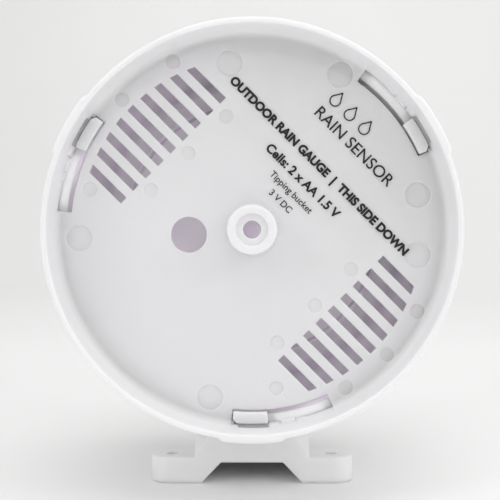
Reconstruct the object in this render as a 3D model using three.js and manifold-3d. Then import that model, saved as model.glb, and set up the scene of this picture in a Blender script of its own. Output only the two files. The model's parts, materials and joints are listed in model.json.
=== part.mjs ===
// Wireless rain sensor with a self-emptying tipping bucket. A round drain cup stands on a side
// bracket, a collector funnel twists into the cup, and the bucket and its radio sit between them.
//
// Millimetres. The exported group is +Z up with the sensor lying on its bracket, drain end facing -Y.
// Inside it everything is drawn in the sensor's own frame: z runs up the sensor's axis as it hangs in
// use, from the drain rim at z = 0, and y points at the bracket. Angles turn from x towards y.
// The works (bucket, housing, grids) have a frame of their own: X along the bucket, Y at the housing.

import * as THREE from "three";
import { mergeVertices } from "three/addons/utils/BufferGeometryUtils.js";
import { ConvexGeometry } from "three/addons/geometries/ConvexGeometry.js";
import Module from "manifold-3d";

const wasm = await Module();
wasm.setup();

const DEG = Math.PI / 180;

// Driving dimensions
const OUTER_R = 67; // outside of the cup and of the collector
const WALL = 2;
const LENGTH = 116; // drain rim to collector rim
const AXIS_HEIGHT = 89.5; // sensor axis above the bracket's feet
const GAP = 0.3; // between pieces that touch
const ROUND = 72; // sides of the large turned shapes

// Drain cup
const CUP_R = OUTER_R - WALL;
const CUP_TOP = 84;
const FLOOR_UNDER = 16;
const FLOOR_TOP = FLOOR_UNDER + WALL;
const CORNER = 1.2; // fillet between the floor and the wall, as a chamfer
const BOSS = { r: 7.9, foot: 8.3, seat: 5.1, bore: 2.8, z: 2, sink: 1 };
const STATIONS = [90, 210, 330]; // bayonet places round the rim
const PAD = { half: 8.6, out: 0.9, top: 30 };
const POCKET = { from: -4.8, to: 4.6, r: 66.4, low: 12, high: 30 };
const WINDOW = { r: 59.9, from: -24.6, to: 6.6 };
const ROUND_HOLE = { x: -20.9, y: 1.7, r: 5.9 };
const GRID = { slots: 9, pitch: 5.83, width: 2.7, near: 36.9, r: 57 };

// Collector
const SKIRT = { out: CUP_R - GAP, inner: 62.3, ring: 60.4, ringTop: 24 }; // its lower end is a thick ring
const BOWL_FLOOR = 106; // where the cone meets the bowl's wall
const CONE_SKIN = 2.2;
const THROAT = { r: 6, z: 78, bore: 2.5, tip: 70, out: 4.5 };
const DRIP_RING = { near: 50.8, far: 52.3, low: 90 }; // under the cone
const CONE_SLOPE = (BOWL_FLOOR - THROAT.z) / (CUP_R - THROAT.r);
const HOOK = { inner: 60.5, outer: 64.3, from: -4.8, to: 5.8, chamfer: 1.3, z: 14.2, root: 24 };
const SCREEN = { r: 29, thick: 1.6, rim: 3, grip: 4, gripHeight: 3.6 };
const SCREEN_SLOTS = { count: 24, near: 9, outerNear: 17, width: 2.6 };

// Tipping bucket, drawn level about its pivot
const WORKS_TURN = -135; // from x to the works' X
const PIVOT_Z = 42;
const TILT = 18;
const BUCKET = { reach: 39, lip: 8.5, crest: 25, keel: -3, half: 12, skin: 1.2, hub: 2.4 };
const PIN = { r: 1, half: 16.8 };
const CHEEK = { near: 14.5, far: 16.5, foot: 13, crown: 5, top: PIVOT_Z + 4 };
const DECK = { x: 31, front: -24, z: 26.3, thick: 2, openX: 14, openY: 9 };
const STOP = { near: 18.3, far: 21.3, half: 8, top: PIVOT_Z - 5.25 };
const POST = { r: 3, pilot: 1.25, under: 1.5 };
const SCREW_HOLE = 1.3;
const FRAME_SCREWS = [[27, 9], [-27, 9], [27, -9], [-27, -9]];
const MAGNET = { r: 2.2, z: 11.5, thick: 2.4 };
const PIVOT_PLAY = 0.15;

// Transmitter housing
const HOUSING = { x: 34.5, near: 17.3, far: 48.5, low: 19, top: 58, skin: 1.8 };
const DIVIDER = { near: 26.6, far: 28.2 };
const EAR = { x: 38.5, y: 34, r: 3.4 };
const LID_SCREW = { x: 30.3, y: 22.9, pilot: 1.2, half: 2.4, deep: 12 };
const LID_THICK = 2;
const CELL = { r: 7.15, half: 24.6, nub: 1, y: 37.45, low: 28.4, high: 43.4 };

// Bracket
const LUG = { x: 36, height: 9.1, front: 36, back: 50.4, hole: 2.1, holeX: 28.5 };
const SADDLE = { x: 20.2, frontTop: 10, back: 80, skin: 2.6 };
const CHANNEL = { foot: 18, roof: 10.95, height: 7.4, back: 77 };
const ROOF_PLATE = 11; // height of the plate over the channel
const BRACKET_SCREWS = [52, 68];
const BRACKET_BORE = { pilot: 1.7, head: 3.6, deep: 2.2, boss: 4 };

// Finishes
const finish = (color, roughness, metalness) =>
  new THREE.MeshStandardMaterial({ color, roughness, metalness });
const plastic = (color, roughness = 0.45) => finish(color, roughness, 0);
const metal = (color, roughness = 0.3) => finish(color, roughness, 1);
const WHITE = plastic(0xe4e3e7);
const INNER = plastic(0xdedce2, 0.5);
const RUBBER = plastic(0x3a3a3c, 0.85);
const BOARD = plastic(0x1f6b3f, 0.4);
const CHIP = plastic(0xb9bcc0, 0.35);
const GLASS = plastic(0x9fb8a8, 0.1);
const JACKET = plastic(0x4a5a6a, 0.35);
const STEEL = metal(0xb8babd);
const NICKEL = metal(0xc6c4be, 0.2);
const COPPER = metal(0xb87a4b, 0.35);

// Solids: three.js shapes wrapped for joining and cutting

function solid(geometry) {
  const bare = geometry.index ? geometry.toNonIndexed() : geometry.clone();
  bare.deleteAttribute("normal");
  bare.deleteAttribute("uv");
  const merged = mergeVertices(bare, 1e-4);
  return new wasm.Manifold(
    new wasm.Mesh({
      numProp: 3,
      vertProperties: merged.attributes.position.array,
      triVerts: new Uint32Array(merged.index.array),
    }),
  );
}

// A profile of [radius, z] turned about the z axis. It runs anticlockwise, so that faces point out.
// One that starts away from the axis is closed on itself.
function turned(profile, sides = ROUND) {
  const startsOnAxis = profile[0][0] === 0;
  const loop = startsOnAxis ? profile : [...profile, profile[0]];
  const points = loop.map(([r, z]) => new THREE.Vector2(r, z));
  return solid(new THREE.LatheGeometry(points, sides).rotateX(Math.PI / 2));
}

function extruded(shape, low, high, sides = 6) {
  const options = { depth: high - low, bevelEnabled: false, curveSegments: sides };
  return new THREE.ExtrudeGeometry(shape, options).translate(0, 0, low);
}

const polar = (r, angle) => [r * Math.cos(angle * DEG), r * Math.sin(angle * DEG)];

// A piece of a ring between two radii and two angles, with its outer far corner cut off by chamfer.
function sector(inner, outer, from, to, low, high, chamfer = 0) {
  const shape = new THREE.Shape();
  const cut = chamfer / outer / DEG;
  shape.moveTo(...polar(inner, from));
  shape.absarc(0, 0, outer, from * DEG, (to - cut) * DEG, false);
  if (chamfer) shape.lineTo(...polar(outer - chamfer, to));
  shape.absarc(0, 0, inner, to * DEG, from * DEG, true);
  return solid(extruded(shape, low, high));
}

function box([x0, x1], [y0, y1], [z0, z1]) {
  const block = new THREE.BoxGeometry(x1 - x0, y1 - y0, z1 - z0);
  return solid(block.translate((x0 + x1) / 2, (y0 + y1) / 2, (z0 + z1) / 2));
}

function rodGeometry(r, low, high, sides = 16, tip = r) {
  const rod = new THREE.CylinderGeometry(tip, r, high - low, sides).rotateX(Math.PI / 2);
  return rod.translate(0, 0, (low + high) / 2);
}

// A round bar along z or y. low and high are along its own axis.
const rodZ = (r, low, high, x = 0, y = 0, sides = 16) =>
  solid(rodGeometry(r, low, high, sides).translate(x, y, 0));
const rodY = (r, low, high, x = 0, z = 0, sides = 16) =>
  solid(rodGeometry(r, low, high, sides).rotateX(-Math.PI / 2).translate(x, 0, z));

// An outline in the XZ plane, carried along Y from near to far.
function slab(outline, near, far) {
  const shape = new THREE.Shape(outline.map(([x, z]) => new THREE.Vector2(x, z)));
  return solid(extruded(shape, -far, -near).rotateX(Math.PI / 2));
}

const joined = (...parts) => parts.reduce((whole, part) => whole.add(part));
const cut = (whole, ...tools) => tools.reduce((rest, tool) => rest.subtract(tool), whole);

// A solid's faces, turned about z
function turnedBy(shape, angle) {
  return solid(geometryOf(shape).rotateZ(angle * DEG));
}

function geometryOf(shape) {
  const { vertProperties, triVerts, numProp, numVert } = shape.getMesh();
  const places = new Float32Array(numVert * 3);
  for (let i = 0; i < numVert; i++) places.set(vertProperties.subarray(i * numProp, i * numProp + 3), i * 3);
  const geometry = new THREE.BufferGeometry();
  geometry.setAttribute("position", new THREE.BufferAttribute(places, 3));
  geometry.setIndex(new THREE.BufferAttribute(new Uint32Array(triVerts), 1));
  return geometry;
}

// The scene graph: the sensor lies down inside the exported group, and the works turn inside it
const rainSensor = new THREE.Group();
const sensor = new THREE.Group();
sensor.rotation.x = -Math.PI / 2;
sensor.position.set(0, -LENGTH / 2, AXIS_HEIGHT);
rainSensor.add(sensor);

const works = new THREE.Group();
works.rotation.z = WORKS_TURN * DEG;
sensor.add(works);

const tipper = new THREE.Group();
tipper.position.z = PIVOT_Z;
tipper.rotation.y = -TILT * DEG;
works.add(tipper);

function piece(name, shape, material, parent) {
  const mesh = new THREE.Mesh(geometryOf(shape).toNonIndexed(), material);
  mesh.geometry.computeVertexNormals();
  mesh.name = name;
  parent.add(mesh);
  return mesh;
}

// A pan-head screw standing on z = 0 with its shank pointing down, cross recess left plain
function screw(name, headR, headHeight, shankR, shankLength, material, parent) {
  const profile = [
    [0, -shankLength],
    [shankR * 0.6, -shankLength],
    [shankR, -shankLength + 1],
    [shankR, 0],
    [headR, 0],
    [headR * 0.75, headHeight],
    [0, headHeight],
  ];
  return piece(name, turned(profile, 12), material, parent);
}

// Drain cup: floor, rim, centre boss, bayonet windows, vent grids and screw posts

function cupShell() {
  const lip = 0.5;
  return turned([
    [BOSS.bore, BOSS.z + BOSS.sink],
    [BOSS.seat, BOSS.z + BOSS.sink],
    [BOSS.seat, BOSS.z],
    [BOSS.r, BOSS.z],
    [BOSS.foot, FLOOR_UNDER],
    [CUP_R - CORNER, FLOOR_UNDER],
    [CUP_R, FLOOR_UNDER - CORNER],
    [CUP_R, lip],
    [CUP_R + lip, 0],
    [OUTER_R - lip, 0],
    [OUTER_R, lip],
    [OUTER_R, CUP_TOP],
    [CUP_R, CUP_TOP],
    [CUP_R, FLOOR_TOP],
    [BOSS.bore, FLOOR_TOP],
  ]);
}

function ventGrid() {
  const first = (-(GRID.slots - 1) * GRID.pitch) / 2;
  const reach = GRID.r + 2;
  const bars = Array.from({ length: GRID.slots }, (_, i) => {
    const y = first + i * GRID.pitch;
    const across = [y - GRID.width / 2, y + GRID.width / 2];
    return box([GRID.near, reach], across, [FLOOR_UNDER - 1, FLOOR_TOP + 1]);
  });
  const disc = rodZ(GRID.r, FLOOR_UNDER - 2, FLOOR_TOP + 2, 0, 0, ROUND);
  return joined(...bars).intersect(disc);
}

function post(x, y) {
  const height = DECK.z - GAP;
  const pillar = rodZ(POST.r, FLOOR_TOP - 0.5, height, x, y, 12);
  return cut(pillar, rodZ(POST.pilot, FLOOR_TOP + POST.under, height + 1, x, y, 8));
}

function baseCup() {
  let cup = cupShell();
  const throughFloor = [FLOOR_UNDER - 1, FLOOR_TOP + 1];
  for (const at of STATIONS) {
    cup = cup.add(sector(OUTER_R - 1, OUTER_R + PAD.out, at - PAD.half, at + PAD.half, 0.4, PAD.top));
  }
  for (const at of STATIONS) {
    cup = cup.subtract(sector(WINDOW.r, CUP_R + 0.1, at + WINDOW.from, at + WINDOW.to, ...throughFloor));
    cup = cup.subtract(
      sector(CUP_R - 1.5, POCKET.r, at + POCKET.from, at + POCKET.to, POCKET.low, FLOOR_UNDER + 0.5),
      sector(CUP_R - 0.1, POCKET.r, at + POCKET.from, at + POCKET.to, POCKET.low, POCKET.high),
    );
  }
  const grid = ventGrid();
  cup = cut(cup, turnedBy(grid, WORKS_TURN), turnedBy(grid, WORKS_TURN + 180));
  cup = cut(cup, rodZ(ROUND_HOLE.r, ...throughFloor, ROUND_HOLE.x, ROUND_HOLE.y, 32));
  const postPlaces = [...FRAME_SCREWS, [EAR.x, EAR.y], [-EAR.x, EAR.y]];
  const posts = joined(...postPlaces.map(([x, y]) => post(x, y)));
  cup = cup.add(turnedBy(posts, WORKS_TURN));
  const bossEnd = AXIS_HEIGHT - ROOF_PLATE - GAP;
  for (const z of BRACKET_SCREWS) {
    cup = cup.add(rodY(BRACKET_BORE.boss, CUP_R + 0.6, bossEnd, 0, z));
    cup = cup.subtract(rodY(BRACKET_BORE.pilot, OUTER_R + 0.5, bossEnd + 1, 0, z, 10));
  }
  return cup;
}

// Collector: bowl, cone and outlet, the skirt that nests in the cup, and three bayonet hooks

function coneAt(r) {
  return THROAT.z + (r - THROAT.r) * CONE_SLOPE;
}

const underCone = (r) => [r, coneAt(r) - CONE_SKIN];

function collector() {
  const lip = 0.6;
  const shell = turned([
    [THROAT.bore, THROAT.tip],
    [THROAT.out, THROAT.tip],
    underCone(THROAT.out + 1),
    underCone(DRIP_RING.near),
    [DRIP_RING.near, DRIP_RING.low],
    [DRIP_RING.far, DRIP_RING.low],
    underCone(DRIP_RING.far),
    underCone(SKIRT.inner),
    [SKIRT.inner, SKIRT.ringTop + 2],
    [SKIRT.ring, SKIRT.ringTop],
    [SKIRT.ring, FLOOR_TOP + GAP],
    [SKIRT.out, FLOOR_TOP + GAP],
    [SKIRT.out, CUP_TOP + GAP],
    [OUTER_R, CUP_TOP + GAP],
    [OUTER_R, LENGTH - lip],
    [OUTER_R - lip, LENGTH],
    [CUP_R + lip, LENGTH],
    [CUP_R, LENGTH - lip],
    [CUP_R, BOWL_FLOOR],
    [THROAT.r, THROAT.z],
    [THROAT.bore, THROAT.z - 2],
  ]);
  const hooks = STATIONS.map((at) =>
    sector(HOOK.inner, HOOK.outer, at + HOOK.from, at + HOOK.to, HOOK.z, HOOK.root, HOOK.chamfer),
  );
  return joined(shell, ...hooks);
}

// Leaf screen: a slotted disc that rests on the cone, with a grip to lift it by
function debrisScreen() {
  const low = coneAt(SCREEN.r) + GAP;
  const high = low + SCREEN.thick;
  const disc = joined(
    rodZ(SCREEN.r, low, high, 0, 0, 36),
    rodZ(SCREEN.grip, low, high + SCREEN.gripHeight, 0, 0, 16),
  );
  const slots = Array.from({ length: SCREEN_SLOTS.count }, (_, i) => {
    const near = i % 2 ? SCREEN_SLOTS.outerNear : SCREEN_SLOTS.near;
    const far = SCREEN.r - SCREEN.rim;
    const slot = new THREE.BoxGeometry(far - near, SCREEN_SLOTS.width, 2 * SCREEN.thick);
    slot.translate((far + near) / 2, 0, (low + high) / 2);
    return solid(slot.rotateZ((i * 360 * DEG) / SCREEN_SLOTS.count));
  });
  return cut(disc, ...slots);
}

// Bracket: two screw lugs, a saddle under the cup and a channel in its underside

// A block between a front outline and a back outline of [x, height above the feet]
function loft(front, frontZ, back, backZ) {
  const at = (outline, z) => outline.map(([x, h]) => new THREE.Vector3(x, AXIS_HEIGHT - h, z));
  return solid(new ConvexGeometry([...at(front, frontZ), ...at(back, backZ)]));
}

const mirroredOutline = (right) => [...right, ...right.map(([x, h]) => [-x, h])];

function lugPlate() {
  const half = (LUG.back - LUG.front) / 2;
  const middle = (LUG.back + LUG.front) / 2;
  const shape = new THREE.Shape();
  shape.absarc(LUG.x - half, 0, half, -Math.PI / 2, Math.PI / 2, false);
  shape.absarc(half - LUG.x, 0, half, Math.PI / 2, Math.PI * 1.5, false);
  const plate = extruded(shape, AXIS_HEIGHT - LUG.height, AXIS_HEIGHT, 16);
  return solid(plate.rotateX(-Math.PI / 2).translate(0, 0, middle));
}

function mountBracket() {
  const tall = 34; // past the cup's underside at the saddle's edges
  const frontTall = tall - 9;
  const side = [SADDLE.x, 0];
  const shoulder = [SADDLE.x, LUG.height];
  const front = mirroredOutline([side, shoulder, [SADDLE.frontTop, frontTall]]);
  const full = mirroredOutline([side, [SADDLE.x, tall]]);
  const saddle = joined(
    loft(front, LUG.front, full, LUG.back),
    loft(full, LUG.back - 0.1, full, SADDLE.back),
    lugPlate(),
  );
  const seat = rodZ(OUTER_R + GAP, LUG.front - 5, SADDLE.back + 5, 0, 0, ROUND);
  const channelEnd = mirroredOutline([[CHANNEL.foot, -0.01], [CHANNEL.roof, CHANNEL.height]]);
  const over = mirroredOutline([[CHANNEL.foot + 1, -1], [CHANNEL.foot, -0.01]]);
  const hollowSide = SADDLE.x - SADDLE.skin;
  const hollowBack = mirroredOutline([[hollowSide, ROOF_PLATE], [hollowSide, tall + 1]]);
  const hollowTop = [SADDLE.frontTop - SADDLE.skin, frontTall];
  const hollowFront = mirroredOutline([[hollowSide - 1, ROOF_PLATE], hollowTop]);
  const cuts = [
    loft(channelEnd, LUG.front - 1, channelEnd, CHANNEL.back),
    loft(over, LUG.front - 1, over, CHANNEL.back),
    loft(hollowFront, LUG.front + SADDLE.skin, hollowBack, LUG.back),
    loft(hollowBack, LUG.back - 0.1, hollowBack, SADDLE.back - SADDLE.skin),
  ];
  const lugMiddle = (LUG.front + LUG.back) / 2;
  for (const x of [-LUG.holeX, LUG.holeX]) {
    cuts.push(rodY(LUG.hole, AXIS_HEIGHT - LUG.height - 1, AXIS_HEIGHT + 1, x, lugMiddle, 20));
  }
  for (const z of BRACKET_SCREWS) {
    const headSeat = AXIS_HEIGHT - CHANNEL.height - BRACKET_BORE.deep;
    cuts.push(rodY(BRACKET_BORE.pilot, AXIS_HEIGHT - ROOF_PLATE - 1, AXIS_HEIGHT, 0, z, 10));
    cuts.push(rodY(BRACKET_BORE.head, headSeat, AXIS_HEIGHT, 0, z, 16));
  }
  return cut(saddle, seat, ...cuts);
}

// Tipping bucket and its frame

function tipperFrame() {
  const deckTop = DECK.z + DECK.thick;
  const deck = box([-DECK.x, DECK.x], [DECK.front, CHEEK.far], [DECK.z, deckTop]);
  const { foot, crown, top } = CHEEK;
  const outline = [[-foot, DECK.z], [foot, DECK.z], [foot, deckTop]];
  outline.push([crown, top], [-crown, top], [-foot, deckTop]);
  const cheeks = [slab(outline, CHEEK.near, CHEEK.far), slab(outline, -CHEEK.far, -CHEEK.near)];
  const stops = [-1, 1].map((end) => {
    const across = end < 0 ? [-STOP.far, -STOP.near] : [STOP.near, STOP.far];
    return box(across, [-STOP.half, STOP.half], [deckTop - 0.5, STOP.top]);
  });
  const holes = FRAME_SCREWS.map(([x, y]) => rodZ(SCREW_HOLE, DECK.z - 1, deckTop + 1, x, y, 10));
  return cut(
    joined(deck, ...cheeks, ...stops),
    box([-DECK.openX, DECK.openX], [-DECK.openY, DECK.openY], [DECK.z - 1, deckTop + 1]),
    rodY(PIN.r + PIVOT_PLAY, -CHEEK.far - 1, CHEEK.far + 1, 0, PIVOT_Z, 16),
    ...holes,
  );
}

function tipperBucket() {
  const { reach, lip, crest, keel, half, skin, hub } = BUCKET;
  const foot = lip - skin - 0.8;
  const outline = [[-reach, foot], [-3, keel], [3, keel], [reach, foot], [reach, lip]];
  outline.push([2, crest], [-2, crest], [-reach, lip]);
  const pool = [[0.8, 3.2], [3.2, 1.6], [4.6, -0.7], [reach + 1, lip + 0.2]];
  pool.push([reach + 1, crest + 1], [0.8, crest + 1]);
  const otherPool = pool.map(([x, z]) => [-x, z]).reverse();
  const inside = half - skin;
  const body = joined(slab(outline, -half, half), rodY(hub, -CHEEK.near + GAP, CHEEK.near - GAP));
  return cut(
    body,
    slab(pool, -inside, inside),
    slab(otherPool, -inside, inside),
    rodY(PIN.r + PIVOT_PLAY, -CHEEK.far, CHEEK.far, 0, 0, 16),
  );
}

// Transmitter housing: a tub with a bay for the circuit board and a bay for the cells

const lidBore = (end, low, high) =>
  rodZ(LID_SCREW.pilot, low, high, end * LID_SCREW.x, LID_SCREW.y, 10);

function transmitterHousing() {
  const { x, near, far, low, top, skin } = HOUSING;
  const floor = low + skin;
  const tub = cut(
    box([-x, x], [near, far], [low, top]),
    box([-x + skin, x - skin], [near + skin, DIVIDER.near], [floor, top + 1]),
    box([-x + skin, x - skin], [DIVIDER.far, far - skin], [floor, top + 1]),
  );
  const postSide = LID_SCREW.x - LID_SCREW.half;
  const earLevels = [DECK.z, DECK.z + DECK.thick];
  const ears = [-1, 1].map((end) => {
    const across = end < 0 ? [-EAR.x, -x + 1] : [x - 1, EAR.x];
    const neck = box(across, [EAR.y - EAR.r, EAR.y + EAR.r], earLevels);
    const plate = joined(rodZ(EAR.r, ...earLevels, end * EAR.x, EAR.y, 16), neck);
    return cut(plate, rodZ(SCREW_HOLE, DECK.z - 1, DECK.z + 4, end * EAR.x, EAR.y, 10));
  });
  const posts = [-1, 1].map((end) => {
    const across = end < 0 ? [-x + 1, -postSide] : [postSide, x - 1];
    const block = box(across, [near + 1, DIVIDER.near + 1], [floor - 1, top]);
    return cut(block, lidBore(end, top - LID_SCREW.deep, top + 1));
  });
  return joined(tub, ...ears, ...posts);
}

function housingLid() {
  const low = HOUSING.top + GAP;
  const plate = box([-HOUSING.x, HOUSING.x], [HOUSING.near, DIVIDER.near + 1], [low, low + LID_THICK]);
  const holes = [-1, 1].map((end) => lidBore(end, low - 1, low + 3));
  return cut(plate, ...holes);
}

// A rectangular ring between the battery bay's edge and its cover
const SEAL = { low: HOUSING.top + GAP, thick: 0.8, width: 1.3 };

function coverSeal() {
  const x = HOUSING.x - 0.3;
  const [near, far] = [DIVIDER.near + 1.4, HOUSING.far - 0.3];
  const high = SEAL.low + SEAL.thick;
  return cut(
    box([-x, x], [near, far], [SEAL.low, high]),
    box([-x + SEAL.width, x - SEAL.width], [near + SEAL.width, far - SEAL.width], [SEAL.low - 1, high + 1]),
  );
}

function batteryCover() {
  const low = SEAL.low + SEAL.thick + GAP;
  const near = DIVIDER.near + 1.3;
  const inset = HOUSING.skin + 0.4;
  const plugX = HOUSING.x - inset;
  const plug = box([-plugX, plugX], [near + 1.9, HOUSING.far - inset], [low - 3, low + 0.5]);
  const ridges = [-2.5, 0, 2.5].map((y) => {
    const middle = (near + HOUSING.far) / 2 + y;
    return box([-12, 12], [middle - 0.6, middle + 0.6], [low + 1.5, low + 3.2]);
  });
  const plate = box([-HOUSING.x, HOUSING.x], [near, HOUSING.far], [low, low + LID_THICK]);
  return joined(plate, plug, ...ridges);
}

// A round cell along X with its nub at +X, or at -X where turnedRound
function cell(height, turnedRound) {
  const { r, half, nub } = CELL;
  const profile = [
    [0, -half],
    [r - 0.8, -half],
    [r, -half + 0.8],
    [r, half - 0.8],
    [r - 0.8, half],
    [2.7, half],
    [2.7, half + nub],
    [0, half + nub],
  ];
  const points = profile.map(([radius, z]) => new THREE.Vector2(radius, z));
  const lathe = new THREE.LatheGeometry(points, 24).rotateX(Math.PI / 2);
  lathe.rotateY((turnedRound ? -Math.PI : Math.PI) / 2);
  return solid(lathe.translate(0, CELL.y, height));
}

// A spring contact's coil as a tapered solid, from a plate at plateX towards a cell's flat end
function contactCoil(end, height) {
  const from = CELL.half + GAP;
  const to = HOUSING.x - HOUSING.skin - GAP - 0.2;
  const coil = rodGeometry(5, -to, -from, 14, 2.6).rotateY(-Math.PI / 2 * end);
  return solid(coil.translate(0, CELL.y, height));
}

function contactPlate(end, heights) {
  const outer = HOUSING.x - HOUSING.skin - GAP;
  const across = end < 0 ? [-outer, -outer + 0.5] : [outer - 0.5, outer];
  const low = Math.min(...heights) - 5.5;
  const high = Math.max(...heights) + 5.5;
  return box(across, [CELL.y - 5.5, CELL.y + 5.5], [low, high]);
}

// A stub that carries the plate out to the nub of the cell
function contactDimple(end, height) {
  const from = CELL.half + CELL.nub + GAP;
  const to = HOUSING.x - HOUSING.skin - GAP - 0.2;
  const stub = rodGeometry(3.2, -to, -from, 14, 2).rotateY(-Math.PI / 2 * end);
  return solid(stub.translate(0, CELL.y, height));
}

const BOARD_BOX = { x: 27, near: 22, far: 23.2, low: 22, top: 56 };

function antennaWire() {
  const y = BOARD_BOX.far + 1.6;
  const bends = [[-20, 30], [-20, 45], [-18.5, 48.5], [-15, 50], [0, 50], [18, 50]];
  const route = new THREE.CatmullRomCurve3(bends.map(([x, z]) => new THREE.Vector3(x, y, z)));
  const section = new THREE.Shape().absarc(0, 0, 0.6, 0, Math.PI * 2, false);
  const options = { steps: 14, bevelEnabled: false, curveSegments: 6, extrudePath: route };
  return solid(new THREE.ExtrudeGeometry(section, options));
}

// Place every piece

piece("base_cup", baseCup(), WHITE, sensor);
piece("mount_bracket", mountBracket(), WHITE, sensor);
BRACKET_SCREWS.forEach((z, i) => {
  const length = ROOF_PLATE - CHANNEL.height + 4.8;
  const made = screw(`bracket_screw_${i + 1}`, 3.2, 1.8, 1.4, length, STEEL, sensor);
  made.rotation.x = -Math.PI / 2;
  made.position.set(0, AXIS_HEIGHT - CHANNEL.height - BRACKET_BORE.deep + GAP, z);
});
piece("collector", collector(), WHITE, sensor);
piece("debris_screen", debrisScreen(), WHITE, sensor);

piece("tipper_frame", tipperFrame(), INNER, works);
FRAME_SCREWS.forEach(([x, y], i) => {
  const made = screw(`frame_screw_${i + 1}`, 2.5, 1.7, 0.95, 7.6, STEEL, works);
  made.position.set(x, y, DECK.z + DECK.thick + GAP);
});
piece("tipper_bucket", tipperBucket(), INNER, tipper);
piece("tipper_pin", rodY(PIN.r, -PIN.half, PIN.half, 0, 0, 16), STEEL, tipper);
const magnetFoot = BUCKET.half + GAP;
const magnet = rodY(MAGNET.r, magnetFoot, magnetFoot + MAGNET.thick, 0, MAGNET.z, 16);
piece("tipper_magnet", magnet, NICKEL, tipper);

piece("transmitter_housing", transmitterHousing(), INNER, works);
[-1, 1].forEach((end, i) => {
  const made = screw(`housing_screw_${i + 1}`, 2.5, 1.7, 0.95, 7.6, STEEL, works);
  made.position.set(end * EAR.x, EAR.y, DECK.z + DECK.thick + GAP);
});
const { x: boardX, near: boardNear, far: boardFar, low: boardLow, top: boardTop } = BOARD_BOX;
piece("circuit_board", box([-boardX, boardX], [boardNear, boardFar], [boardLow, boardTop]), BOARD, works);
const reed = rodGeometry(1.1, -7, 7, 12).rotateY(Math.PI / 2);
piece("reed_switch", solid(reed.translate(0, boardNear - GAP - 1.2, PIVOT_Z + MAGNET.z - 1)), GLASS, works);
piece("radio_module", box([-8, 10], [boardFar + GAP, boardFar + 2.4], [26, 42]), CHIP, works);
piece("antenna", antennaWire(), COPPER, works);
piece("housing_lid", housingLid(), INNER, works);
[-1, 1].forEach((end, i) => {
  const made = screw(`lid_screw_${i + 1}`, 2.2, 1.4, 0.9, 10, STEEL, works);
  made.position.set(end * LID_SCREW.x, LID_SCREW.y, HOUSING.top + 2 * GAP + LID_THICK);
});
piece("battery_a", cell(CELL.low, false), JACKET, works);
piece("battery_b", cell(CELL.high, true), JACKET, works);
piece(
  "bridge_contact",
  joined(contactPlate(-1, [CELL.low, CELL.high]), contactCoil(-1, CELL.low), contactDimple(-1, CELL.high)),
  NICKEL,
  works,
);
piece("plus_contact", joined(contactPlate(1, [CELL.low]), contactDimple(1, CELL.low)), NICKEL, works);
piece("minus_contact", joined(contactPlate(1, [CELL.high]), contactCoil(1, CELL.high)), NICKEL, works);
piece("cover_seal", coverSeal(), RUBBER, works);
piece("battery_cover", batteryCover(), INNER, works);

export default rainSensor;
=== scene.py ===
import json
import math

import bmesh
import bpy
import numpy as np
from bpy.props import FloatProperty, FloatVectorProperty, PointerProperty
from bpy.types import Operator, Panel, PropertyGroup
from mathutils import Matrix, Vector


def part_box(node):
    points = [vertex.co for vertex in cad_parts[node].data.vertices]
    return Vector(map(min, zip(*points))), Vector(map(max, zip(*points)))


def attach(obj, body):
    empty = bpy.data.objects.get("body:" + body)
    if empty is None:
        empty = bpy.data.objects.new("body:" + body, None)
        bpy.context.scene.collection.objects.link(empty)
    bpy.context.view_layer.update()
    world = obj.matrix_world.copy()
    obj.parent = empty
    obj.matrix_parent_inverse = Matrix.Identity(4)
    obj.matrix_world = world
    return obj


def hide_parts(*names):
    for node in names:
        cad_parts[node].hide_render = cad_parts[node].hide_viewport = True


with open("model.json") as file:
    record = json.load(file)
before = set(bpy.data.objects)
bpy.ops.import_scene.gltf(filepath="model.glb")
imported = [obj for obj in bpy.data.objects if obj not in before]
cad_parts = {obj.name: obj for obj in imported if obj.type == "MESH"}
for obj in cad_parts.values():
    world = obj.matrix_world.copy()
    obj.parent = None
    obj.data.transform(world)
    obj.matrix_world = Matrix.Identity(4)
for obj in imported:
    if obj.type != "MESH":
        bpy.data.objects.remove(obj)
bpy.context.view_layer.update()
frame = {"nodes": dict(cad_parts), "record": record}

bl_info = {
    "name": "Rain Sensor",
    "version": (1, 0, 0),
    "blender": (4, 5, 0),
    "location": "3D View > Sidebar > Rain Sensor",
    "description": "Builds a tipping-bucket rain sensor around its packed frame",
    "category": "Add Mesh",
}

MM = 0.001

# The sensor's own frame, in millimetres: z runs up its axis from the drain rim, y points at the
# bracket, and angles turn from x towards y. These lines place it in the row's frame.
CUP_LOW, CUP_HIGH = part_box("base_cup")
BOWL_LOW, BOWL_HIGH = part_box("collector")
RIM_Y = CUP_LOW.y / MM
AXIS_Z = (BOWL_LOW.z + BOWL_HIGH.z) / 2 / MM
OUTER_R = (BOWL_HIGH.x - BOWL_LOW.x) / 2 / MM
CUP_TOP = CUP_HIGH.y / MM - RIM_Y
LENGTH = BOWL_HIGH.y / MM - RIM_Y
HOOK_END = BOWL_LOW.y / MM - RIM_Y

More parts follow.
